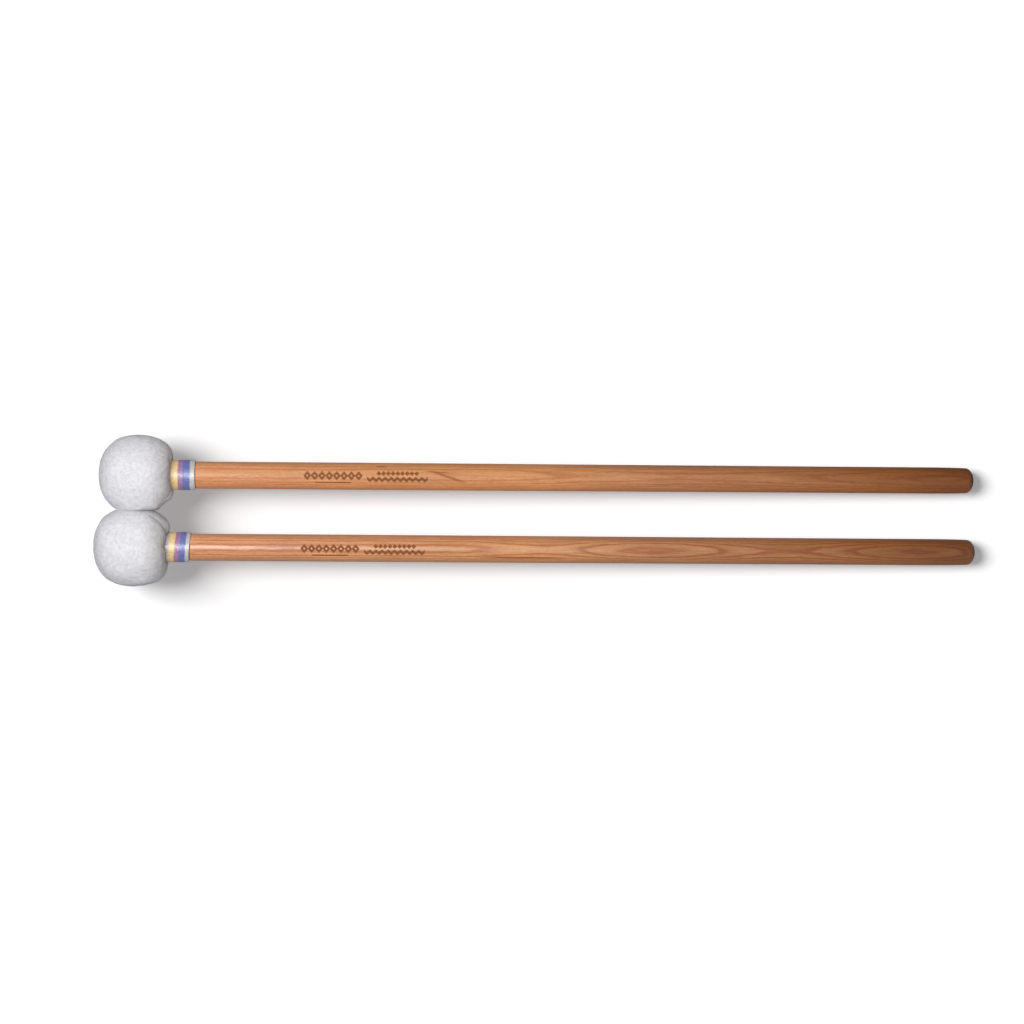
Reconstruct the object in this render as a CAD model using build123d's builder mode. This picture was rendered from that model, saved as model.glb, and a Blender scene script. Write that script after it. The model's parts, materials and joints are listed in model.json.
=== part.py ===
from build123d import *
import math
import os

# A pair of timpani mallets lying side by side on a flat surface: felt heads together
# at -X, wooden butts at +X, +Z up, and z = 0 the surface that they lie on.
# Each mallet is turned about its own axis. Along that axis u runs from the middle of
# the head (u = 0) to the butt, and r is the distance from the axis. Every profile is
# drawn as (u, r) on the mallet's half-section plane and revolved about its axis.

os.makedirs("parts", exist_ok=True)

# ---- Driving dimensions, in millimetres ------------------------------------------
# Head: a core turned from maple, a pad of firm felt, and a thick soft felt cover
head_radius = 17.6          # across the axis
head_front = 16.9           # from the middle to the striking end
head_back = 15.7            # from the middle to the shoulder around the neck
fullness = 0.62             # how square the head's rounding is
rim_share = 0.48            # its outline ends, at the back, at this share of the radius
cover_felt = 4.0            # thickness of the outer felt
pad_felt = 2.0              # thickness of the firm felt under it
rest_flat = 0.3             # how far the felt settles where it lies on the surface

# Mouth of the cover, gathered on to the neck by a draw thread
mouth_radius = 7.2
mouth_bottom = 12.9
draw_thread_radius = 0.4

# Neck: a rebate in the shaft that takes the cover's tail and the thread binding
neck_radius = 5.4
tail_felt = 0.8             # the cover's tail, pressed thin by the binding
thread_pitch = 0.53         # from one turn of thread to the next
thread_base = 0.28          # how high the turns stand on the tail at their middles
binding_end = 25.7
shoulder = 25.9             # where the neck ends and the full shaft begins

# Shaft
shaft_radius = 6.0
grip_radius = 5.85
taper_start = 130.0         # the shaft is straight as far as this, and then tapers
grip_length = 54.0          # the straight stretch near the butt
barrel_length = 15.0        # the soft narrowing between the grip and the rounded end
barrel_sweep = 430.0        # radius of that narrowing's long arc
butt_cap = 3.8              # length of the rounded end
shoulder_round = 0.5
tenon_radius = 4.0
tenon_end = -7.0
tenon_chamfer = 0.4
glue_gap = 0.5              # left in the core's bore past the tenon

# The pair. press is how far each axis is from the flat where the two heads meet.
axis_spacing = 32.0
left = {"name": "left", "out": -1, "head_x": -179.2, "butt": 375.5, "press": 16.25}
right = {"name": "right", "out": 1, "head_x": -177.0, "butt": 372.5, "press": 15.45}

# Turns of each thread, in order from the head to the shaft
left["turns"] = {"inner_white": 4, "gold": 5, "purple": 4, "blue": 5, "white": 3}
right["turns"] = {"inner_white": 2, "gold": 6, "purple": 4, "blue": 6, "white": 4}

# ---- Worked-out dimensions -------------------------------------------------------
head_height = head_radius - rest_flat
pad_depth = cover_felt
core_depth = cover_felt + pad_felt
pad_back = head_back - pad_depth
core_back = head_back - core_depth
tail_radius = neck_radius + tail_felt
barrel_drop = barrel_sweep - math.sqrt(barrel_sweep**2 - barrel_length**2)
butt_radius = grip_radius - barrel_drop


def resting_tilt(grip_end):
    """Tilt of a mallet that lies on its head's flat and on the barrel near its butt.

    The barrel's lower edge is an arc of radius barrel_sweep, centred rise above the axis
    at grip_end, and it touches the surface when that centre is barrel_sweep above it.
    """
    rise = barrel_sweep - grip_radius
    reach = math.hypot(grip_end, rise)
    return math.acos((barrel_sweep - head_height) / reach) - math.atan2(grip_end, rise)


def half_section(mallet):
    """Plane through a mallet's axis: its origin mid-head, its x towards the butt, its y up."""
    tilt = resting_tilt(mallet["butt"] - butt_cap - barrel_length)
    return Plane(
        origin=(mallet["head_x"], mallet["out"] * axis_spacing / 2, head_height),
        x_dir=(math.cos(tilt), 0, -math.sin(tilt)),
        z_dir=(0, -1, 0),
    )


def crown(depth):
    """Draw the head's outline at a depth under its surface, and return its two ends.

    Two curves meet at the widest point: one from the front pole, on the axis, and one to
    the rim around the neck. A fullness of 0.552 would make them quarter ellipses.
    """
    radius = head_radius - depth
    pole = Vector(depth - head_front, 0)
    top = Vector(0, radius)
    rim = Vector(head_back - depth, rim_share * radius)
    for end in (pole, rim):
        corner = Vector(end.X, radius)
        Bezier(top, top + (corner - top) * fullness, end + (corner - end) * fullness, end)
    return pole, rim


def save(piece, mallet, name):
    """Label a finished piece and write it as its own STEP file."""
    piece.part.label = f"{mallet['name']}_{name}"
    export_step(piece.part, f"parts/{piece.part.label}.step")


def make_shaft(mallet, plane, axis):
    """Turned shaft: tenon, neck, shoulder, straight stretch, taper, grip and rounded butt."""
    cap_start = mallet["butt"] - butt_cap
    grip_end = cap_start - barrel_length
    round_start = shaft_radius - shoulder_round
    with BuildPart() as shaft:
        with BuildSketch(plane):
            with BuildLine():
                Polyline(
                    (mallet["butt"], 0),
                    (tenon_end, 0),
                    (tenon_end, tenon_radius - tenon_chamfer),
                    (tenon_end + tenon_chamfer, tenon_radius),
                    (core_back, tenon_radius),
                    (core_back, neck_radius),
                    (shoulder, neck_radius),
                    (shoulder, round_start),
                )
                shoulder_centre = (shoulder + shoulder_round, round_start)
                CenterArc(shoulder_centre, shoulder_round, start_angle=180, arc_size=-90)
                Polyline(
                    (shoulder + shoulder_round, shaft_radius),
                    (taper_start, shaft_radius),
                    (grip_end - grip_length, grip_radius),
                    (grip_end, grip_radius),
                )
                RadiusArc((grip_end, grip_radius), (cap_start, butt_radius), barrel_sweep)
                EllipticalCenterArc((cap_start, 0), butt_cap, butt_radius, arc_size=90)
            make_face()
        revolve(axis=axis)
    save(shaft, mallet, "shaft")


def make_core(mallet, plane, axis):
    """Turned maple core, with the blind bore that takes the shaft's tenon."""
    bore_end = tenon_end - glue_gap
    with BuildPart() as core:
        with BuildSketch(plane):
            with BuildLine():
                pole, rim = crown(core_depth)
                Polyline(
                    rim,
                    (core_back, tenon_radius),
                    (bore_end, tenon_radius),
                    (bore_end, 0),
                    pole,
                )
            make_face()
        revolve(axis=axis)
    save(core, mallet, "core")


def make_core_pad(mallet, plane, axis):
    """Firm felt wrapped round the core and closed on to the neck."""
    with BuildPart() as pad:
        with BuildSketch(plane):
            with BuildLine():
                pole, rim = crown(pad_depth)
                inner_pole, inner_rim = crown(core_depth)
                Polyline(rim, (pad_back, neck_radius), (core_back, neck_radius), inner_rim)
                Line(inner_pole, pole)
            make_face()
        revolve(axis=axis)
    save(pad, mallet, "core_pad")


def make_felt_cover(mallet, plane, axis):
    """Soft felt ball with its gathered mouth, the tail under the binding, and two flats."""
    lip_end = head_back - (rim_share * head_radius - mouth_radius)
    out = mallet["out"]
    press_y = out * (axis_spacing / 2 - mallet["press"])
    with BuildPart() as cover:
        with BuildSketch(plane):
            with BuildLine():
                pole, rim = crown(0)
                inner_pole, inner_rim = crown(pad_depth)
                TangentArc(rim, (lip_end, mouth_radius), tangent=(0, -1))
                Polyline(
                    (lip_end, mouth_radius),
                    (mouth_bottom, mouth_radius),
                    (mouth_bottom, tail_radius),
                    (binding_end, tail_radius),
                    (binding_end, neck_radius),
                    (pad_back, neck_radius),
                    inner_rim,
                )
                Line(inner_pole, pole)
            make_face()
        revolve(axis=axis)
        split(bisect_by=Plane((mallet["head_x"], press_y, 0), z_dir=(0, out, 0)), keep=Keep.TOP)
        split(bisect_by=Plane.XY, keep=Keep.TOP)
    save(cover, mallet, "felt_cover")


def make_draw_thread(mallet, plane, axis):
    """Thread that gathers the cover's mouth on to the neck, just inside the mouth."""
    middle = (mouth_bottom + 1.3 * draw_thread_radius, tail_radius + draw_thread_radius)
    with BuildPart() as draw_thread:
        with BuildSketch(plane):
            with Locations(middle):
                Circle(draw_thread_radius)
        revolve(axis=axis)
    save(draw_thread, mallet, "draw_thread")


def make_binding(mallet, plane, axis):
    """One thread for each colour, its turns laid side by side over the cover's tail."""
    start = binding_end - thread_pitch * sum(mallet["turns"].values())
    turn_height = tail_radius + thread_base
    for colour, count in mallet["turns"].items():
        width = count * thread_pitch
        middles = [(start + (turn + 0.5) * thread_pitch, turn_height) for turn in range(count)]
        with BuildPart() as thread:
            with BuildSketch(plane):
                with Locations((start + width / 2, tail_radius + thread_base / 2)):
                    Rectangle(width, thread_base)
                with Locations(*middles):
                    Circle(thread_pitch / 2)
            revolve(axis=axis)
        save(thread, mallet, f"{colour}_thread")
        start += width


for mallet in (left, right):
    section = half_section(mallet)
    turning_axis = Axis(section.origin, section.x_dir)
    make_shaft(mallet, section, turning_axis)
    make_core(mallet, section, turning_axis)
    make_core_pad(mallet, section, turning_axis)
    make_felt_cover(mallet, section, turning_axis)
    make_draw_thread(mallet, section, turning_axis)
    make_binding(mallet, section, turning_axis)
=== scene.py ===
import json
import math

import bmesh
import bpy
import numpy as np
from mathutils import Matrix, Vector


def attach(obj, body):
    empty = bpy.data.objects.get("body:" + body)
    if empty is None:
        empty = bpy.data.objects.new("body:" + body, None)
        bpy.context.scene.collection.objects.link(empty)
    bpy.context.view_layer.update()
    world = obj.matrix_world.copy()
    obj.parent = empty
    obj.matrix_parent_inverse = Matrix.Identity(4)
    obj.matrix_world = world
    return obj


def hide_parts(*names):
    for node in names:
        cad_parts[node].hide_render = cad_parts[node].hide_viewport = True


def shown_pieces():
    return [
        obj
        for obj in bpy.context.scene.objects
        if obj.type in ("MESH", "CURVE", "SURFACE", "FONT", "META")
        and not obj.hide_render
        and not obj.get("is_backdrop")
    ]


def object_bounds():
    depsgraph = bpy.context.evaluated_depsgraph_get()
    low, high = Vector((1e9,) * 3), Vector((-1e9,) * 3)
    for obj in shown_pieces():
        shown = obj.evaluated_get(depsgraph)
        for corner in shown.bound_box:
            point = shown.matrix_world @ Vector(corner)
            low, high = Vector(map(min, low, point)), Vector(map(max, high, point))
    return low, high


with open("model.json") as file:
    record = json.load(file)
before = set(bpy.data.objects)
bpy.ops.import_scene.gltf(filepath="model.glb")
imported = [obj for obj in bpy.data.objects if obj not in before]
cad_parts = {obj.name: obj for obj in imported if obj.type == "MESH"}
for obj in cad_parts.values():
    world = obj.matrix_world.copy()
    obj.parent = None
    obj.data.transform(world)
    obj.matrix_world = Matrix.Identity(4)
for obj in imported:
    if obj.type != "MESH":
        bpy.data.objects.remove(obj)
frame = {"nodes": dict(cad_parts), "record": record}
cad_low, cad_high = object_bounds()

# A pair of timpani mallets. Every piece is shaped in its own mallet's frame, in
# millimetres, and then placed in the row frame, in metres.

MM = 0.001
TAU = 2 * math.pi
SIDES = ("left", "right")
MOUNTS = {mount["name"]: mount for mount in frame["record"]["mounts"]}

# ---- Sizes, in millimetres, as in the CAD ---------------------------------------------------
HEAD_FRONT = 16.9
HEAD_RADIUS = 17.6
HEAD_BACK = 15.7
FULLNESS = 0.62
RIM_SHARE = 0.48
COVER_FELT = 4.0
PAD_FELT = 2.0
MOUTH_RADIUS = 7.2
MOUTH_BOTTOM = 12.9
NECK_RADIUS = 5.4
TAIL_RADIUS = 6.2
BINDING_END = 25.7
SHOULDER = 25.9
SHAFT_RADIUS = 6.0
SHOULDER_ROUND = 0.5
TAPER_START = 130.0
GRIP_RADIUS = 5.85
GRIP_LENGTH = 54.0
BARREL_LENGTH = 15.0
BARREL_SWEEP = 430.0
BUTT_CAP = 3.8
SHAFT_REACH = 375.0  # the stretch over which the wood's tone and rings change
TENON_RADIUS = 4.0
TENON_END = -7.0
TENON_CHAMFER = 0.4
THREAD_HEIGHT = 0.28
DRAW_THREAD_HEIGHT = 0.4
PRESS = {"left": 16.25, "right": 15.45}
TURNS = {
    "left": {"inner_white": 4, "gold": 5, "purple": 4, "blue": 5, "white": 3},
    "right": {"inner_white": 2, "gold": 6, "purple": 4, "blue": 6, "white": 4},
}
RIM_RADIUS = RIM_SHARE * HEAD_RADIUS
CORE_BACK = HEAD_BACK - COVER_FELT - PAD_FELT


class Mallet:
    """A mallet's own frame: u from mid-head towards the butt, v towards +Y, and w up."""

    def __init__(self, side):
        grip = MOUNTS[f"{side}_grip"]
        head_x = MOUNTS[f"{side}_head_rest"]["pos_m"][0]
        along = Vector(grip["axis"]).normalized()
        across = Vector((0, 1, 0))
        on_axis = Vector(grip["pos_m"])
        self.side = side
        self.body = f"{side}_mallet"
        self.towards_other = 1 if side == "left" else -1
        self.middle = on_axis + along * ((head_x - on_axis.x) / along.x)
        self.axes = (along, across, along.cross(across))

    def place(self, local):
        """Row-frame points, in metres, of local points in millimetres."""
        return np.array(self.middle) + np.asarray(local) * MM @ np.array(self.axes)

    def span(self, node):
        """Lowest and highest u of one of this mallet's CAD nodes."""
        mesh = frame["nodes"][f"{self.side}_{node}"].data
        points = np.array([vertex.co for vertex in mesh.vertices])
        reach = (points - np.array(self.middle)) @ np.array(self.axes[0]) / MM
        return reach.min(), reach.max()


# ---- Shape helpers --------------------------------------------------------------------------
class Noise:
    """A smooth random field over space, from about -1 to 1, repeating every 32 cells."""

    CELLS = 32

    def __init__(self, seed):
        draw = np.random.default_rng(seed)
        self.lattice = draw.uniform(-1, 1, (self.CELLS,) * 3)

    def __call__(self, points, size):
        cell = points / size
        low = np.floor(cell).astype(int)
        part = cell - low
        part = part * part * (3 - 2 * part)
        total = np.zeros(len(points))
        for corner in np.ndindex(2, 2, 2):
            weight = np.prod(np.where(corner, part, 1 - part), axis=1)
            total += weight * self.lattice[tuple(((low + corner) % self.CELLS).T)]
        return total


def smoothstep(low, high, value):
    part = np.clip((value - low) / (high - low), 0, 1)
    return part * part * (3 - 2 * part)


def soft_limit(value, limit, softness):
    """value where it is well under limit, and easing into limit instead of passing it."""
    return limit - softness * np.logaddexp(0, (limit - value) / softness)


def bezier(start, towards_start, towards_end, end, count):
    t = np.linspace(0, 1, count)[:, None]
    start, towards_start = np.array(start), np.array(towards_start)
    towards_end, end = np.array(towards_end), np.array(end)
    return (
        (1 - t) ** 3 * start
        + 3 * (1 - t) ** 2 * t * towards_start
        + 3 * (1 - t) * t**2 * towards_end
        + t**3 * end
    )


def arc(centre, radii, first, last, count=9):
    """Part of an ellipse about centre, between two angles in degrees."""
    turn = np.radians(np.linspace(first, last, count))
    across, up = radii[0] * np.cos(turn), radii[1] * np.sin(turn)
    return np.column_stack([centre[0] + across, centre[1] + up])


def lengths(outline):
    """How far along an outline each of its points is."""
    return np.concatenate([[0], np.cumsum(np.linalg.norm(np.diff(outline, axis=0), axis=1))])


def spaced(outline, step):
    """The same outline with its points about a step apart."""
    reach = lengths(outline)
    places = np.linspace(0, reach[-1], max(2, round(reach[-1] / step) + 1))
    return np.column_stack([np.interp(places, reach, part) for part in outline.T])


def join(*runs):
    """One outline from runs that follow one another, without their shared ends."""
    return np.vstack([runs[0], *(run[1:] for run in runs[1:])])


def crown(depth, count):
    """The head's outline at a depth under its surface, from the front pole to the rim."""
    radius = HEAD_RADIUS - depth
    pole = (depth - HEAD_FRONT, 0)
    rim = (HEAD_BACK - depth, RIM_SHARE * radius)
    top = (0, radius)
    rim_pull = (rim[0], rim[1] + FULLNESS * (radius - rim[1]))
    front = bezier(pole, (pole[0], FULLNESS * radius), (FULLNESS * pole[0], radius), top, count)
    shoulder = bezier(top, (FULLNESS * rim[0], radius), rim_pull, rim, count)
    return join(front, shoulder)


class Lathe:
    """A closed skin turned from an outline of (u, r), with its own count of points a ring."""

    def __init__(self, outline, counts):
        self.outline = np.array(outline)
        steps = np.gradient(self.outline, axis=0)
        steps /= np.linalg.norm(steps, axis=1)[:, None]
        starts = np.concatenate([[0], np.cumsum(counts)[:-1]])
        self.ring = np.repeat(np.arange(len(counts)), counts)
        self.angle = np.concatenate([np.arange(count) * TAU / count for count in counts])
        self.u, self.r = self.outline[self.ring].T
        self.out_u, self.out_r = -steps[self.ring, 1], steps[self.ring, 0]
        self.faces = []
        for ring in range(len(counts) - 1):
            rings = (starts[ring], counts[ring], starts[ring + 1], counts[ring + 1])
            self.faces += self.strip(*rings)

    @staticmethod
    def strip(low, low_count, high, high_count):
        """Faces between two rings whose counts are equal, or one twice the other, or one 1."""
        count = max(low_count, high_count)
        faces = []
        for i in range(count):
            j = (i + 1) % count
            corners = (
                low + i * low_count // count,
                low + j * low_count // count,
                high + j * high_count // count,
                high + i * high_count // count,
            )
            faces.append(list(dict.fromkeys(corners)))
        return faces

    def points(self, swell=0):
        """The skin's points, each moved outwards by its own swell."""
        u = self.u + swell * self.out_u
        r = self.r + swell * self.out_r
        return np.column_stack([u, r * np.cos(self.angle), r * np.sin(self.angle)])


def make_piece(name, mallet, local, faces, material, node):
    """A smooth mesh piece that rides on its mallet and stands for one of its CAD nodes."""
    mesh = bpy.data.meshes.new(name)
    mesh.from_pydata(mallet.place(local).tolist(), [], faces)
    work = bmesh.new()
    work.from_mesh(mesh)
    bmesh.ops.recalc_face_normals(work, faces=work.faces)
    work.to_mesh(mesh)
    work.free()
    mesh.shade_smooth()
    mesh.materials.append(material)
    piece = bpy.data.objects.new(name, mesh)
    bpy.context.scene.collection.objects.link(piece)
    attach(piece, mallet.body)
    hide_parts(f"{mallet.side}_{node}")
    return piece


# ---- Material helpers -----------------------------------------------------------------------
class Graph:
    """A material's nodes. Each call adds one node and returns its output."""

    def __init__(self, name, **shader):
        self.material = bpy.data.materials.new(name)
        self.material.use_nodes = True
        self.tree = self.material.node_tree
        self.shader = self.tree.nodes["Principled BSDF"]
        for socket, value in shader.items():
            self.put(self.shader.inputs[socket.replace("_", " ").title()], value)

    def put(self, socket, value):
        if isinstance(value, bpy.types.NodeSocket):
            self.tree.links.new(value, socket)
        else:
            socket.default_value = value

    def add(self, kind, inputs, output=0, **settings):
        node = self.tree.nodes.new(kind)
        for key, value in settings.items():
            setattr(node, key, value)
        for key, value in inputs.items():
            self.put(node.inputs[key], value)
        return node.outputs[output]

    def math(self, operation, *values):
        return self.add("ShaderNodeMath", dict(enumerate(values)), operation=operation)

    def noise(self, vector, scale, detail=2.0, roughness=0.5, distortion=0.0):
        inputs = {
            "Vector": vector,
            "Scale": scale,
            "Detail": detail,
            "Roughness": roughness,
            "Distortion": distortion,
        }
        return self.add("ShaderNodeTexNoise", inputs)

    def scaled(self, vector, scale):
        return self.add("ShaderNodeVectorMath", {0: vector, 1: scale}, operation="MULTIPLY")

    def ramp(self, factor, *stops):
        """Colours, or grey levels, that factor runs through, as (place, value) stops."""
        out = self.add("ShaderNodeValToRGB", {"Fac": factor})
        elements = out.node.color_ramp.elements
        while len(elements) < len(stops):
            elements.new(0.5)
        for element, (place, value) in zip(elements, stops):
            element.position = place
            element.color = (*value, 1) if hasattr(value, "__len__") else (value, value, value, 1)
        return out

    def mix(self, factor, first, second, blend="MIX"):
        inputs = {0: factor, 6: first, 7: second}
        return self.add("ShaderNodeMix", inputs, output=2, data_type="RGBA", blend_type=blend)

    def local(self, mallet):
        """The point being shaded as (u, v, w), in millimetres, in a mallet's own frame."""
        place = self.add("ShaderNodeTexCoord", {}, output="Object")
        away = self.add(
            "ShaderNodeVectorMath", {0: place, 1: mallet.middle}, operation="SUBTRACT"
        )
        dot = {"output": 1, "operation": "DOT_PRODUCT"}
        parts = [
            self.add("ShaderNodeVectorMath", {0: away, 1: axis / MM}, **dot) for axis in mallet.axes
        ]
        return self.add("ShaderNodeCombineXYZ", dict(enumerate(parts)))

    def separate(self, vector):
        out = self.add("ShaderNodeSeparateXYZ", {0: vector})
        return out.node.outputs[:]

    def bump(self, height, distance, strength):
        inputs = {"Height": height, "Distance": distance * MM, "Strength": strength}
        return self.add("ShaderNodeBump", inputs)


# ---- Materials ------------------------------------------------------------------------------
LATE_WOOD = 0.85  # how far through a year's growth its wood is darkest
RIPPLE = 0.35  # how far small ripples move the growth rings


def shaft_wood(mallet, rings):
    """Lacquered hardwood: growth rings cut along the shaft, fibre streaks, flecks and burn."""
    finish = rings["finish"]
    graph = Graph(f"{mallet.side}_shaft_wood", **finish)
    place = graph.local(mallet)
    u, v, w = graph.separate(place)

    # Growth rings: sheets square to one direction across the shaft, waving slowly along it
    turn = math.radians(rings["turn"])
    across = graph.math("MULTIPLY", v, math.cos(turn))
    depth = graph.math("MULTIPLY_ADD", w, math.sin(turn), across)
    wave_rate = TAU / rings["wave"]
    phase = graph.math("MULTIPLY_ADD", u, wave_rate, -wave_rate * rings["crest"])
    calm, waving = (limit / SHAFT_REACH for limit in rings["waves_from"])
    far = graph.math("DIVIDE", u, SHAFT_REACH)
    size = graph.ramp(far, (calm, 0.0), (waving, rings["height"]))
    wave = graph.math("MULTIPLY_ADD", graph.math("COSINE", phase), size, rings["start_depth"])
    drift = graph.noise(graph.scaled(place, (0.016, 0.12, 0.12)), 1.0, detail=2)
    ripple = graph.noise(graph.scaled(place, (0.11, 0.8, 0.8)), 1.0, detail=2)
    depth = graph.math("ADD", depth, wave)
    depth = graph.math("MULTIPLY_ADD", graph.math("SUBTRACT", drift, 0.5), rings["drift"], depth)
    depth = graph.math("MULTIPLY_ADD", graph.math("SUBTRACT", ripple, 0.5), RIPPLE, depth)
    year = graph.math("DIVIDE", graph.math("SUBTRACT", depth, rings["line"]), rings["spacing"])
    year = graph.math("FRACT", graph.math("ADD", year, LATE_WOOD))
    late = graph.ramp(
        year, (0.0, 0.1), (0.3, 0.0), (0.65, 0.3), (LATE_WOOD, 1.0), (0.97, 0.35), (1.0, 0.1)
    )
    late = graph.math("MULTIPLY", late, rings["strength"])

    # Broad tone, streaks along the fibre, and short dark pores
    tone = graph.noise(graph.scaled(place, (0.02, 0.35, 0.35)), 1.0, detail=3, roughness=0.6)
    streak = graph.noise(graph.scaled(place, (0.07, 1.9, 1.9)), 1.0, detail=4, roughness=0.65)
    fibre = graph.noise(graph.scaled(place, (0.35, 6.0, 6.0)), 1.0, detail=3, roughness=0.7)
    fleck = graph.noise(graph.scaled(place, (0.42, 3.6, 3.6)), 1.0, detail=2, roughness=0.6)
    flecks = graph.ramp(fleck, (0.56, 0.0), (0.68, 1.0))
    pores = graph.ramp(
        graph.noise(graph.scaled(place, (0.8, 11.0, 11.0)), 1.0, detail=1), (0.62, 0.0), (0.72, 1.0)
    )

    # The tone deepens towards the butt: partly the wood's own deeper tone, partly painted shade for
    # the light falling off along the shaft
    colour = graph.ramp(
        far,
        (0.08, (0.86, 0.41, 0.205)),
        (0.48, (0.84, 0.40, 0.175)),
        (0.62, (0.64, 0.295, 0.14)),
        (0.74, (0.60, 0.262, 0.108)),
        (0.88, (0.43, 0.162, 0.046)),
        (1.0, (0.265, 0.088, 0.018)),
    )
    colour = graph.mix(1.0, colour, rings["tint"], blend="MULTIPLY")
    light = graph.ramp(streak, (0.3, (0.80, 0.74, 0.68)), (0.68, (1.04, 1.04, 1.04)))
    colour = graph.mix(1.0, colour, light, blend="MULTIPLY")
    colour = darken(graph, colour, late, (0.74, 0.52, 0.40, 1))
    shade = graph.ramp(tone, (0.3, 0.86), (0.7, 1.08))
    colour = graph.mix(1.0, colour, shade, blend="MULTIPLY")
    grain = graph.ramp(fibre, (0.3, 0.88), (0.7, 1.06))
    colour = graph.mix(1.0, colour, grain, blend="MULTIPLY")
    colour = darken(graph, colour, flecks, (0.80, 0.70, 0.62, 1))
    colour = darken(graph, colour, pores, (0.75, 0.62, 0.52, 1))
    for start, end, width in rings["stains"]:
        mark = stain(graph, u, v, start, end, width)
        colour = darken(graph, colour, mark, (0.66, 0.47, 0.34, 1))

    # Burned ornament, and the butt's end darkened near black: partly its own darker end grain,
    # partly painted shade for its shaded end face
    burn = graph.add("ShaderNodeAttribute", {}, output="Fac", attribute_name="burn")
    uneven = graph.ramp(graph.noise(place, 2.2, detail=3, roughness=0.7), (0.3, 0.7), (0.65, 1.0))
    colour = graph.mix(graph.math("MULTIPLY", burn, uneven), colour, (0.205, 0.058, 0.008, 1))
    end = graph.add("ShaderNodeAttribute", {}, output="Fac", attribute_name="end_grain_and_shade")
    colour = graph.mix(graph.math("MULTIPLY", end, 0.85), colour, (0.035, 0.012, 0.005, 1))
    graph.put(graph.shader.inputs["Base Color"], colour)

    height = graph.math("MULTIPLY_ADD", pores, -0.5, graph.math("MULTIPLY", fibre, 0.6))
    graph.put(graph.shader.inputs["Normal"], graph.bump(height, 0.05, 0.5))
    rough = graph.ramp(fibre, (0.3, finish["roughness"] - 0.05), (0.7, finish["roughness"] + 0.07))
    rough = graph.mix(burn, rough, (0.8, 0.8, 0.8, 1))
    graph.put(graph.shader.inputs["Roughness"], rough)
    coat = graph.math("MULTIPLY_ADD", burn, -finish["coat_weight"], finish["coat_weight"])
    graph.put(graph.shader.inputs["Coat Weight"], coat)
    return graph.material


def darken(graph, colour, amount, by):
    """Multiply a colour by another, as far as amount says."""
    return graph.mix(amount, colour, graph.mix(1.0, colour, by, blend="MULTIPLY"))


def stain(graph, u, v, start, end, width):
    """A tapering mineral streak between two places (u, v) on top of the shaft."""
    (u0, v0), (u1, v1) = start, end
    length = math.hypot(u1 - u0, v1 - v0)
    ux, vx = (u1 - u0) / length, (v1 - v0) / length
    along = graph.math("MULTIPLY_ADD", v, vx, -u0 * ux - v0 * vx)
    along = graph.math("MULTIPLY_ADD", u, ux, along)
    aside = graph.math("MULTIPLY_ADD", v, ux, u0 * vx - v0 * ux)
    aside = graph.math("MULTIPLY_ADD", u, -vx, aside)
    reach = graph.math("MULTIPLY_ADD", along, 2 / length, -1.0)
    across = graph.math("DIVIDE", aside, width / 2)
    away = graph.math("MULTIPLY_ADD", reach, reach, graph.math("MULTIPLY", across, across))
    return graph.ramp(away, (0.2, 1.0), (0.95, 0.0))


def wool_felt(name, pale, dark, fuzz):
    """Pressed wool: matted clumps, short curled fibres and a soft sheen, with painted shade in its
    folds and some dust.
    """
    graph = Graph(name, roughness=0.7, sheen_weight=0.08, sheen_roughness=0.6)
    graph.shader.inputs["Specular IOR Level"].default_value = 0.25
    place = graph.add("ShaderNodeTexCoord", {}, output="Object")
    clump = graph.noise(place, 620, detail=3, roughness=0.6, distortion=0.3)
    curl = graph.noise(place, 2000, detail=4, roughness=0.75, distortion=2.5)
    blend = graph.math("MULTIPLY_ADD", clump, 0.45, graph.math("MULTIPLY", curl, 0.55))
    colour = graph.mix(graph.ramp(blend, (0.36, 0.0), (0.58, 1.0)), dark, pale)
    # Painted shade, with some dust: a per-vertex mask darkens the felt in its creases, between the
    # heads and towards the back of the head on top
    dust_and_shade = graph.add("ShaderNodeAttribute", {}, output="Fac", attribute_name="dust_and_shade")
    speck = graph.ramp(curl, (0.35, 1.25), (0.62, 0.75))
    dust_and_shade = graph.math("MULTIPLY", dust_and_shade, speck)
    colour = darken(graph, colour, dust_and_shade, (0.66, 0.62, 0.58, 1))
    # Where that mask is strongest the felt turns brown: dust at the mouth, painted shade in the
    # creases and the crevice between the heads
    soil_and_shade = graph.ramp(graph.math("MULTIPLY", dust_and_shade, 0.5), (0.42, 0.0), (0.66, 1.0))
    colour = darken(graph, colour, soil_and_shade, (0.66, 0.55, 0.47, 1))
    graph.put(graph.shader.inputs["Base Color"], colour)
    height = graph.math("ADD", graph.math("MULTIPLY", clump, 0.8), curl)
    graph.put(graph.shader.inputs["Normal"], graph.bump(height, fuzz, 0.7))
    return graph.material


def silk_thread(name, colour, dark):
    """Twisted silky thread: fine filaments and a satin highlight."""
    graph = Graph(name, roughness=0.42)
    graph.shader.inputs["IOR"].default_value = 2.2
    graph.shader.inputs["Specular IOR Level"].default_value = 1.0
    place = graph.add("ShaderNodeTexCoord", {}, output="Object")
    filament = graph.noise(place, 4200, detail=3, roughness=0.7)
    patch = graph.noise(place, 1500, detail=2)
    blend = graph.math("MULTIPLY_ADD", patch, 0.6, graph.math("MULTIPLY", filament, 0.5))
    mixed = graph.mix(graph.ramp(blend, (0.4, 0.0), (0.68, 1.0)), dark, colour)
    graph.put(graph.shader.inputs["Base Color"], mixed)
    graph.put(graph.shader.inputs["Normal"], graph.bump(filament, 0.06, 0.5))
    return graph.material


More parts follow.
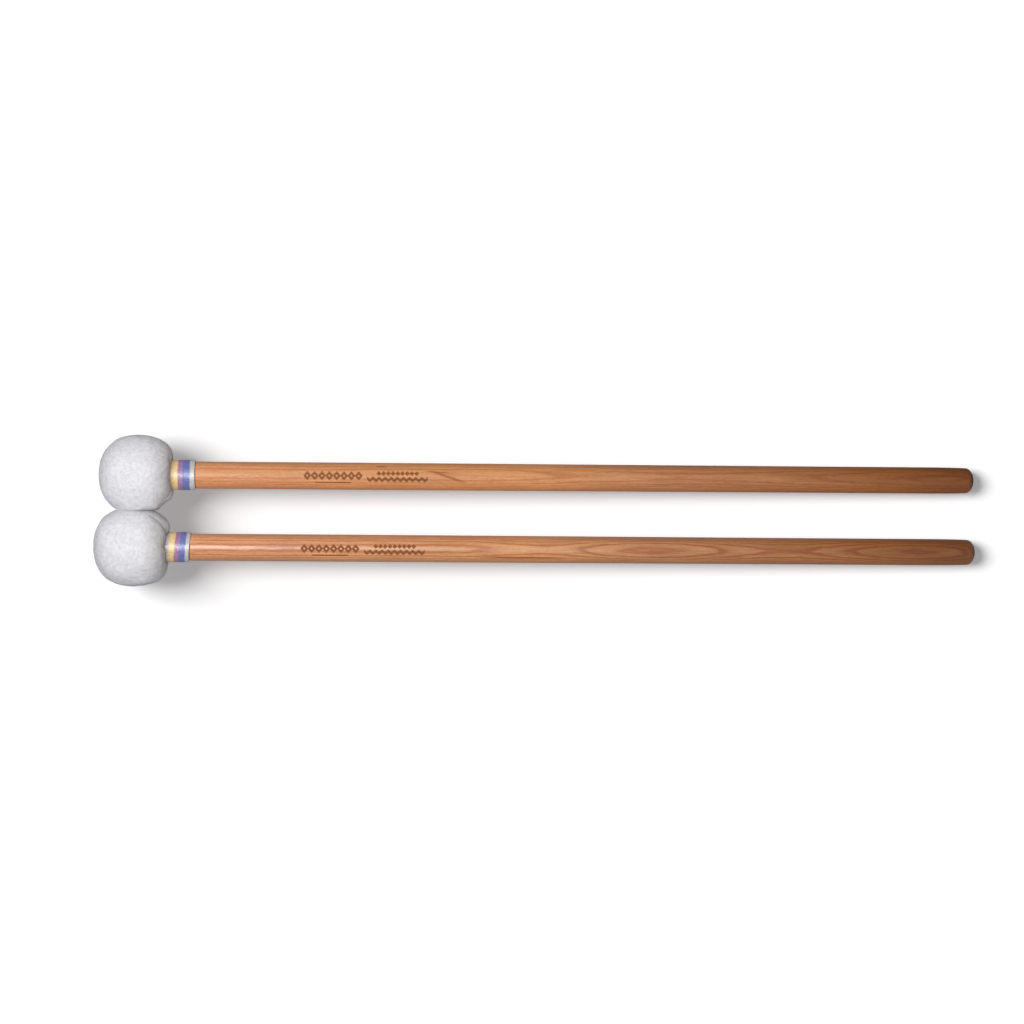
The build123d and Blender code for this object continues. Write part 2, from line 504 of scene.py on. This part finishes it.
def plain_maple():
    """Turned, unfinished maple of the hidden core."""
    graph = Graph("core_maple", roughness=0.6)
    place = graph.add("ShaderNodeTexCoord", {}, output="Object")
    grain = graph.noise(graph.scaled(place, (60, 700, 700)), 1.0, detail=4, roughness=0.6)
    colour = graph.mix(grain, (0.52, 0.33, 0.17, 1), (0.74, 0.56, 0.35, 1))
    graph.put(graph.shader.inputs["Base Color"], colour)
    graph.put(graph.shader.inputs["Normal"], graph.bump(grain, 0.05, 0.4))
    return graph.material


# ---- Felt covers ----------------------------------------------------------------------------
# The cover's mouth is gathered, so the felt around the neck puffs out between creases.
# Each pleat is its crease's angle at the rim, how far the crease has turned by the time it
# dies out at the crown, how far the felt after it swells, and how far out the crease starts,
# from 0 at the crown to 1 at the rim. Angle 0 faces +Y, and 90 is up.
PLEATS = {
    "left": [
        (-42, 0, 1.25, 0.3), (47, -30, 0.25, 0.12), (88, -6, 0.3, 0.62), (128, 4, 0.2, 0.7),
        (166, 8, 0.3, 0.6), (205, 4, 0.25, 0.65), (243, -5, 0.3, 0.6), (281, -8, 0.25, 0.6),
    ],
    "right": [
        (-34, 4, 0.25, 0.62), (12, -5, 0.3, 0.6), (58, -4, 0.2, 0.72), (104, 5, 0.2, 0.68),
        (142, 10, 0.4, 0.42), (192, -4, 0.3, 0.6), (240, 5, 0.25, 0.66), (284, -3, 0.3, 0.62),
    ],
}
PLEAT_RISE = 0.55  # how much further out a crease reaches its full depth
CREASE_DEPTH = 0.35
LUMPS = ((6.5, 0.22), (2.4, 0.11), (1.1, 0.07), (0.6, 0.04))  # their sizes and heights
MOUTH_ROUND = 0.4
TAIL_ROUND = 0.3
MOUTH_NOTCH = {"left": 0.7, "right": 0.9}  # how far the mouth is drawn in on top
NOTCH_WIDTH = 50.0  # in degrees round the mouth
SLOPE = {"left": (0, 0.9), "right": (180, 1.7)}  # the worn slope's angle and depth
SLOPE_WIDTH = 45.0
SETTLING = 0.12  # how softly the felt bends into its flats
PRESS_ROOM = 0.1  # what that bend would take off the flat between the heads
FELT_STEP = 0.33
FELT_COLUMNS = 320
FELT_SHAPE = 0.62  # the least width of a cell, to its length


def felt_counts(outline):
    """Points a ring: fewer near the axis, so that they stay about as far apart everywhere."""
    full = FELT_COLUMNS * FELT_STEP / TAU * FELT_SHAPE
    counts = []
    for _, r in outline:
        halvings = min(5, max(0, math.ceil(math.log2(full / max(r, 0.01)))))
        counts.append(FELT_COLUMNS >> halvings if r > 1e-6 else 1)
    return counts


def gather(side, angle, reach):
    """Swell of the gathered felt, and how near each point is to a crease's bottom.

    reach is 0 at the crown and 1 at the rim.
    """
    pleats = PLEATS[side]
    swell = np.zeros(len(angle))
    crease = np.zeros(len(angle))
    degrees = np.degrees(angle)
    for pleat, after in zip(pleats, pleats[1:] + pleats[:1]):
        (rim, turn, puff, start), (next_rim, next_turn, _, next_start) = pleat, after
        first = rim + turn * (1 - reach)
        width = (next_rim - rim) % 360 + (next_turn - turn) * (1 - reach)
        part = (degrees - first) % 360 / width
        hump = np.sqrt(np.clip(4 * part * (1 - part), 0, 1))
        strength = (1 - part) * smoothstep(start, start + PLEAT_RISE, reach)
        strength += part * smoothstep(next_start, next_start + PLEAT_RISE, reach)
        swell += np.where(part < 1, strength * (puff * hump - CREASE_DEPTH * (1 - hump)), 0)
        crease += np.where(part < 1, strength * smoothstep(0.7, 0.15, hump), 0)
    return np.array([swell, crease])


def felt_cover(mallet, seed):
    """Soft felt ball with its gathered mouth, flattened where it presses and where it rests."""
    lip = RIM_RADIUS - MOUTH_RADIUS
    mouth = np.array([
        (MOUTH_BOTTOM + MOUTH_ROUND, MOUTH_RADIUS), (MOUTH_BOTTOM, MOUTH_RADIUS - MOUTH_ROUND),
        (MOUTH_BOTTOM, TAIL_RADIUS + TAIL_ROUND), (MOUTH_BOTTOM + TAIL_ROUND, TAIL_RADIUS),
        (BINDING_END, TAIL_RADIUS),
    ])
    shown = join(crown(0, 60), arc((HEAD_BACK - lip, RIM_RADIUS), (lip, lip), 0, -90), mouth)
    shown = spaced(shown, FELT_STEP)
    hidden = join(
        np.array([(BINDING_END, NECK_RADIUS), (HEAD_BACK - COVER_FELT, NECK_RADIUS)]),
        crown(COVER_FELT, 12)[::-1],
    )
    outline = np.vstack([shown, spaced(hidden, 3 * FELT_STEP)])
    skin = Lathe(outline, felt_counts(outline))

    # How far round the outline each point is: 0 at the widest part, 1 at the rim
    reach = lengths(outline)
    widest = int(np.argmax(outline[:, 1]))
    rim = widest + int(np.argmax(outline[widest:len(shown), 0] > HEAD_BACK - 0.02))
    around = (reach[skin.ring] - reach[widest]) / (reach[rim] - reach[widest])
    bare = 1 - smoothstep(1.1, 1.22, around)
    gathered = 1 - smoothstep(1.02, 1.14, around)

    rest = skin.points()
    lumps = Noise(seed)
    swell, crease = gather(mallet.side, skin.angle, np.clip(around, 0, 1)) * gathered
    for layer, (size, height) in enumerate(LUMPS):
        swell += bare * height * lumps(rest + 40 * layer, size)

    # The felt slopes away towards the neck on the side where the heads press together
    facing, hollow = SLOPE[mallet.side]
    aside = (np.degrees(skin.angle) - facing + 180) % 360 - 180
    sloped = smoothstep(0.38, 0.66, around) * (1 - smoothstep(0.7, 1.0, around))
    swell -= hollow * sloped * np.exp(-((aside / SLOPE_WIDTH) ** 2))
    points = skin.points(swell)
    from_top = (np.degrees(skin.angle) - 90) / NOTCH_WIDTH
    drawn_in = smoothstep(0.7, 1.0, around) * (1 - smoothstep(1.1, 1.25, around))
    points[:, 0] -= MOUTH_NOTCH[mallet.side] * drawn_in * np.exp(-from_top**2)

    # Pressed flat against the other head, and on the surface below
    press = PRESS[mallet.side] + PRESS_ROOM
    side = mallet.towards_other
    crevice = smoothstep(-1.5, -0.1, side * points[:, 1] - press) * smoothstep(1, 5, points[:, 0])
    points[:, 1] = side * soft_limit(side * points[:, 1], press, SETTLING)
    along, _, up = mallet.axes
    surface = -(mallet.middle.z / MM + points[:, 0] * along.z) / up.z
    points[:, 2] = -soft_limit(-points[:, 2], -surface, SETTLING)
    material = MATERIALS["cover_felt"]
    name = f"{mallet.side}_felt_ball"
    piece = make_piece(name, mallet, points, skin.faces, material, "felt_cover")
    # Painted shade: the felt darkens towards the back of the head, most on top, and in its creases
    # and the crevice against the other head; only the term at the mouth's edge is dust
    shade_on_top = 0.3 + 0.7 * np.clip(np.sin(skin.angle), 0, 1)
    dust_and_shade = 0.9 * shade_on_top * smoothstep(0.15, 0.8, around) + 0.3 * smoothstep(0.9, 1.1, around)
    store(piece, "dust_and_shade", np.clip(dust_and_shade + 0.45 * crease + 0.8 * crevice, 0, 1.5))


# ---- Shafts ---------------------------------------------------------------------------------
SHAFT_COLUMNS = 96
SHAFT_STEP = 1.5
MARK_STEP = 0.2
MARK_LENGTH = 55.4
BURN_DEPTH = 0.03
SECOND_MARK = 28.0  # where the second part of the ornament starts along it
MARKS = {"left": {"start": 75.0, "lift": 0.5}, "right": {"start": 73.9, "lift": 0.2}}


def band(value, low, high):
    """1 between low and high, with edges soft over one step of the mesh."""
    soft = MARK_STEP / 2
    above = smoothstep(low - soft, low + soft, value)
    return above * (1 - smoothstep(high - soft, high + soft, value))


def lozenge(x, y, width, height, hole=0.0):
    """A solid lozenge about the origin, with a lozenge-shaped hole as large as that share."""
    size = np.abs(x) / (width / 2) + np.abs(y) / (height / 2)
    reach = min(width, height) / 2
    return band((size - 1) * reach, (hole - 1) * reach, 0)


def ornament(x, y):
    """A burned geometric frieze: pierced lozenges over a rule, then two rows of small marks."""
    step, small_step, tooth = 3.25, 2.1, 2.7
    frieze = lozenge((x % step) - step / 2, y - 0.3, step + 0.4, 4.2, 0.28) * band(x, 0, 8 * step)
    rule = band(y, -3.1, -2.45) * band(x, 5, 21)
    x = x - SECOND_MARK
    small = lozenge((x % small_step) - small_step / 2, y - 1.5, small_step + 0.15, 2.2)
    small = small * band(x, 2 * small_step, 11 * small_step)
    zigzag = np.abs((x % tooth) / (tooth / 2) - 1) * 1.2 - 0.6
    chevrons = band(y + 1.2 - zigzag, -0.75, 0.75) * band(x, 0, 10 * tooth)
    return np.maximum.reduce([frieze, rule, small, chevrons])


def shaft_runs(butt):
    """The turned shaft's outline as four runs: tenon and neck, shoulder, straights, and end."""
    cap_start = butt - BUTT_CAP
    grip_end = cap_start - BARREL_LENGTH
    tenon = np.array([
        (TENON_END, 0), (TENON_END, TENON_RADIUS - TENON_CHAMFER),
        (TENON_END + TENON_CHAMFER, TENON_RADIUS),
        (CORE_BACK, TENON_RADIUS), (CORE_BACK, NECK_RADIUS), (SHOULDER, NECK_RADIUS),
    ])
    centre = (SHOULDER + SHOULDER_ROUND, SHAFT_RADIUS - SHOULDER_ROUND)
    shoulder = arc(centre, (SHOULDER_ROUND, SHOULDER_ROUND), 180, 90)
    straights = np.array([
        (TAPER_START, SHAFT_RADIUS), (grip_end - GRIP_LENGTH, GRIP_RADIUS), (grip_end, GRIP_RADIUS),
    ])
    reach = np.linspace(0, BARREL_LENGTH, 12)[1:]
    drop = BARREL_SWEEP - np.sqrt(BARREL_SWEEP**2 - reach**2)
    barrel = np.column_stack([grip_end + reach, GRIP_RADIUS - drop])
    cap = arc((cap_start, 0), (BUTT_CAP, barrel[-1, 1]), 90, 0, count=16)
    return tenon, shoulder, straights, join(barrel, cap)


def shaft(mallet):
    """Turned shaft, finely meshed where its ornament is burned in."""
    butt = mallet.span("shaft")[1]
    tenon, shoulder, straights, rounding = shaft_runs(butt)
    turned = np.vstack([shoulder, straights])
    start = MARKS[mallet.side]["start"]
    end = start + MARK_LENGTH
    before = np.arange(shoulder[-1, 0] + SHAFT_STEP, start - 2, SHAFT_STEP)
    marked = np.arange(start - 1, end + 1, MARK_STEP)
    after = np.arange(end + 2.5, straights[1, 0], SHAFT_STEP)
    middle = np.concatenate([before, marked, after])
    middle = np.column_stack([middle, np.interp(middle, turned[:, 0], turned[:, 1])])
    outline = np.vstack([tenon, shoulder, middle, straights[2:], rounding])
    counts = [SHAFT_COLUMNS] * len(outline)
    first = len(tenon) + len(shoulder) + len(before)
    counts[first:first + len(marked)] = [2 * SHAFT_COLUMNS] * len(marked)
    counts[0] = counts[-1] = 1
    outline[-1, 1] = 0
    skin = Lathe(outline, counts)

    # The ornament lies along the top, laid out along the shaft and round its girth
    girth = skin.r * (skin.angle - TAU / 4)
    lift = MARKS[mallet.side]["lift"]
    burn = ornament(skin.u - start, -girth + lift) * band(skin.u, start - 0.5, end + 0.5)
    burn[skin.u < start - 1] = 0
    points = skin.points(-BURN_DEPTH * burn)
    name = f"{mallet.side}_turned_shaft"
    material = MATERIALS[f"{mallet.side}_shaft_wood"]
    piece = make_piece(name, mallet, points, skin.faces, material, "shaft")
    store(piece, "burn", burn)
    # The butt's end darkens: partly its own end grain, partly painted shade on its rounded end
    store(piece, "end_grain_and_shade", smoothstep(butt - 2.0, butt - 0.7, skin.u))


def store(piece, name, values):
    """Keep one number per vertex on a piece, for its material to read."""
    attribute = piece.data.attributes.new(name, "FLOAT", "POINT")
    attribute.data.foreach_set("value", np.asarray(values, np.float32))


# ---- Threads --------------------------------------------------------------------------------
THREAD_SIDES = 10
STRAND_THICKNESS = 1.3  # a strand's thickness to the pitch of its turns
STRAND_PRESS = 0.012  # how far its turns press into one another
TURN_STEPS = 150
PLY_TWIST = 1.5  # from one ridge of the twist to the next, in millimetres
PLY_RIDGE = 0.06  # how high the ridges are, to the strand's thickness
WANDER = 0.05
CROSSING_START = 0.88  # where in each turn the thread begins to cross to the next
END_REACH = 0.06  # how much of a turn each end takes to come up from under the binding
END_HEIGHT = 0.35  # an end's height to the turns' height
END_THICKNESS = 0.4  # and its thickness to theirs
TAIL_DENT = 0.02  # how far the thread sinks into the felt tail
LEAN = {"left": 0.085, "right": 0.0}  # how far the turns lean along the shaft


def wound_thread(mallet, node, slot, turns, height, seed):
    """One thread wound in turns side by side, with its crossings and ends underneath."""
    start, end = mallet.span(node)
    pitch = (end - start) / turns
    angle = np.linspace(0, TAU * turns, turns * TURN_STEPS + 1)
    lap = angle / TAU
    whole = np.minimum(np.floor(lap), turns - 1)
    crossing = smoothstep(CROSSING_START, 1.0, lap - whole) * (whole < turns - 1)
    wander = Noise(seed)(np.column_stack([angle * 1.1, angle * 0, angle * 0]), 1.0)
    u = start + pitch * (whole + crossing + 0.5) + WANDER * wander
    ends = smoothstep(0.0, END_REACH, lap) * smoothstep(0.0, END_REACH, turns - lap)
    flat = (STRAND_THICKNESS - 1) * pitch / 2
    raised = height * (END_HEIGHT + (1 - END_HEIGHT) * ends)
    centre = TAIL_RADIUS + raised - TAIL_DENT - flat
    turn = angle - TAU / 4
    u = u + LEAN[mallet.side] * centre * np.cos(turn)

    # Two plies twisted together give the thread its two ridges
    around = np.arange(THREAD_SIDES) * TAU / THREAD_SIDES
    twist = angle * centre / PLY_TWIST * TAU / 2
    thick = STRAND_THICKNESS * (pitch / 2 + STRAND_PRESS)
    thick = thick * (1 + PLY_RIDGE * np.cos(2 * (around[None, :] - twist[:, None])))
    thick = thick * (END_THICKNESS + (1 - END_THICKNESS) * ends)[:, None]
    r = centre[:, None] + thick * np.sin(around)
    local = np.stack([
        u[:, None] + thick * np.cos(around),
        r * np.cos(turn)[:, None],
        r * np.sin(turn)[:, None],
    ], axis=-1).reshape(-1, 3)
    faces = []
    for step in range(len(angle) - 1):
        for i in range(THREAD_SIDES):
            j = (i + 1) % THREAD_SIDES
            low, high = step * THREAD_SIDES, (step + 1) * THREAD_SIDES
            faces.append((low + i, low + j, high + j, high + i))
    faces.append(tuple(range(THREAD_SIDES)))
    faces.append(tuple(range(len(local) - THREAD_SIDES, len(local))))
    name = f"{mallet.side}_{node}_winding"
    make_piece(name, mallet, local, faces, MATERIALS[slot], node)


def binding(mallet, seed):
    """All of a mallet's threads: the draw thread in the mouth, and the coloured binding."""
    wound_thread(mallet, "draw_thread", "draw_thread", 1, DRAW_THREAD_HEIGHT, seed)
    for number, (colour, turns) in enumerate(TURNS[mallet.side].items(), 1):
        slot = f"{colour.replace('inner_', '')}_thread"
        wound_thread(mallet, f"{colour}_thread", slot, turns, THREAD_HEIGHT, seed + number)


# ---- The object -----------------------------------------------------------------------------
mallets = {side: Mallet(side) for side in SIDES}

# Each shaft's wood: the way its rings face, in degrees (turn); the length, a crest and the
# height of their slow wave, and the two places between which it grows (waves_from); the
# years' width (spacing), the place of one dark line, their drift and their darkness
# (strength); and each mineral stain's two ends, as (u, v), and its width.
RINGS = {
    "left": {
        "turn": 90, "wave": 116.0, "crest": 232.5, "height": 0.8, "spacing": 0.76,
        "line": 6.62, "drift": 0.45, "strength": 1.45, "tint": (0.97, 1.03, 1.05, 1),
        "waves_from": (140.0, 192.0), "start_depth": 0.0,
        "finish": {"roughness": 0.4, "coat_weight": 0.6, "coat_roughness": 0.36},
        "stains": [((150.0, -3.4), (196.0, -3.9), 1.3)],
    },
    "right": {
        "turn": 82, "wave": 280.0, "crest": 380.0, "height": 0.9, "spacing": 0.8,
        "line": 5.05, "drift": 0.5, "strength": 0.75, "tint": (0.93, 0.91, 0.84, 1),
        "waves_from": (120.0, 200.0), "start_depth": 0.2,
        "finish": {"roughness": 0.55, "coat_weight": 0.0, "coat_roughness": 0.35},
        "stains": [
            ((129.0, 2.7), (147.5, -3.1), 1.5),
            ((126.0, 2.4), (140.0, 1.6), 0.8),
            ((105.5, 4.3), (111.5, 4.2), 0.7),
        ],
    },
}
MATERIALS = {f"{side}_shaft_wood": shaft_wood(mallets[side], RINGS[side]) for side in SIDES}
MATERIALS["core_maple"] = plain_maple()
for slot, pale, dark, fuzz in (
    ("cover_felt", (0.80, 0.797, 0.826, 1), (0.58, 0.577, 0.607, 1), 0.12),
    ("pad_felt", (0.62, 0.58, 0.52, 1), (0.44, 0.41, 0.36, 1), 0.1),
):
    MATERIALS[slot] = wool_felt(slot, pale, dark, fuzz)
for slot, colour, dark in (
    ("draw_thread", (0.70, 0.64, 0.55, 1), (0.45, 0.40, 0.33, 1)),
    ("white_thread", (0.73, 0.72, 0.71, 1), (0.46, 0.45, 0.44, 1)),
    ("gold_thread", (0.98, 0.76, 0.36, 1), (0.80, 0.50, 0.18, 1)),
    ("purple_thread", (0.54, 0.26, 0.51, 1), (0.24, 0.10, 0.25, 1)),
    ("blue_thread", (0.18, 0.24, 0.62, 1), (0.06, 0.08, 0.34, 1)),
):
    MATERIALS[slot] = silk_thread(slot, colour, dark)

for number, mallet in enumerate(mallets.values()):
    shaft(mallet)
    felt_cover(mallet, seed=11 + number)
    binding(mallet, seed=31 + 10 * number)
    for node, slot in (("core", "core_maple"), ("core_pad", "pad_felt")):
        carried = frame["nodes"][f"{mallet.side}_{node}"]
        carried.data.materials.clear()
        carried.data.materials.append(MATERIALS[slot])

# ---- Floor, light and camera ----------------------------------------------------------------
VIEW_WIDTH = 0.4557
VIEW_LEVEL = 0.0115  # the height, near the shafts' tops, at which the view is that wide
VIEW_SHIFT = (-0.01065, 0.0006)  # from the middle of the pair
VIEW_TURN = 0.407  # in degrees
LENS = 126.0
SENSOR = 36.0


def add_stage(name, colour, glow):
    """A surface of the stage, which the camera sees, and which throws no light on the object."""
    graph = Graph(f"{name}_paper", roughness=0.9)
    graph.shader.inputs["Base Color"].default_value = colour
    graph.shader.inputs["Emission Color"].default_value = (1, 1, 1, 1)
    graph.shader.inputs["Emission Strength"].default_value = glow
    graph.material.cycles.emission_sampling = "NONE"
    mesh = bpy.data.meshes.new(name)
    mesh.materials.append(graph.material)
    part = bpy.data.objects.new(name, mesh)
    part.visible_diffuse = part.visible_glossy = False
    bpy.context.scene.collection.objects.link(part)
    part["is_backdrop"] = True
    return part


def add_floor():
    half = 3.0
    corners = [(-half, -half, 0), (half, -half, 0), (half, half, 0), (-half, half, 0)]
    floor = add_stage("floor", (0.9, 0.9, 0.9, 1), 0.22)
    floor.data.from_pydata(corners, [], [(0, 1, 2, 3)])
    return floor


def add_backdrop():
    """A white tent all round, which lets the light through and shows beyond the floor."""
    tent = add_stage("backdrop", (0, 0, 0, 1), 1.0)
    tent.visible_shadow = tent.visible_transmission = False
    work = bmesh.new()
    bmesh.ops.create_uvsphere(work, u_segments=48, v_segments=24, radius=4.6)
    work.to_mesh(tent.data)
    work.free()


def add_light(name, kind, place, target, energy, lights_only, glossy=True, **settings):
    """A lamp turned towards a target, which lights only the objects it is given."""
    light = bpy.data.lights.new(name, kind)
    light.energy = energy
    for key, value in settings.items():
        setattr(light, key, value)
    lamp = bpy.data.objects.new(name, light)
    lamp.location = place
    lamp.rotation_euler = (Vector(target) - Vector(place)).to_track_quat("-Z", "Y").to_euler()
    lamp.visible_glossy = glossy
    bpy.context.scene.collection.objects.link(lamp)
    group = bpy.data.collections.new(f"{name}_lights")
    for piece in lights_only:
        group.objects.link(piece)
    lamp.light_linking.receiver_collection = group


def add_world(sky, ground):
    """Even light from above, and a little more from below, as off a white table."""
    world = bpy.data.worlds.new("studio")
    world.use_nodes = True
    tree = world.node_tree
    background = tree.nodes["Background"]
    background.inputs["Color"].default_value = (0.97, 0.96, 1, 1)
    place = tree.nodes.new("ShaderNodeTexCoord")
    height = tree.nodes.new("ShaderNodeSeparateXYZ")
    level = tree.nodes.new("ShaderNodeMapRange")
    tree.links.new(place.outputs["Generated"], height.inputs[0])
    tree.links.new(height.outputs["Z"], level.inputs["Value"])
    level.inputs["From Min"].default_value = -0.2
    level.inputs["From Max"].default_value = 0.2
    level.inputs["To Min"].default_value = ground
    level.inputs["To Max"].default_value = sky
    tree.links.new(level.outputs[0], background.inputs["Strength"])
    bpy.context.scene.world = world


def add_camera():
    """Straight above the pair and turned a little, with a view as wide as VIEW_WIDTH."""
    camera = bpy.data.objects.new("camera", bpy.data.cameras.new("camera"))
    camera.data.lens = LENS
    camera.data.sensor_width = SENSOR
    camera.data.clip_start = 0.01
    middle = (cad_low + cad_high) / 2
    height = VIEW_LEVEL + VIEW_WIDTH * LENS / SENSOR
    camera.location = (middle.x + VIEW_SHIFT[0], middle.y + VIEW_SHIFT[1], height)
    camera.rotation_euler = (0, 0, math.radians(VIEW_TURN))
    bpy.context.scene.collection.objects.link(camera)
    bpy.context.scene.camera = camera


floor = add_floor()
add_backdrop()
pieces = list(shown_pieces())
head = Vector((cad_low.x, 0, 0)) + Vector((HEAD_RADIUS, 0, HEAD_RADIUS)) * MM
key_size = {"shape": "RECTANGLE", "size": 0.14, "size_y": 0.335}
add_light("key", "AREA", head + Vector((-0.09, 0, 0.62)), head, 3.5, pieces, **key_size)
for name, offset, energy in (
    ("far_fill", (0.05, 0.55, 0.24), 0.65),
    ("near_fill", (0.05, -0.55, 0.24), 0.26),
    ("head_fill", (-0.5, 0, 0.2), 0.1),
    ("neck_fill", (0.45, -0.12, 0.1), 0.3),
):
    place = head + Vector(offset)
    add_light(name, "AREA", place, head, energy, pieces, glossy=False, size=0.3)
sun = {"angle": math.radians(33)}
add_light("floor_light", "SUN", (-1.0, 0.26, 1.15), (0, 0, 0), 3.25, [floor], **sun)
add_world(0.17, 0.24)
add_camera()
bpy.context.scene.view_settings.view_transform = "Standard"
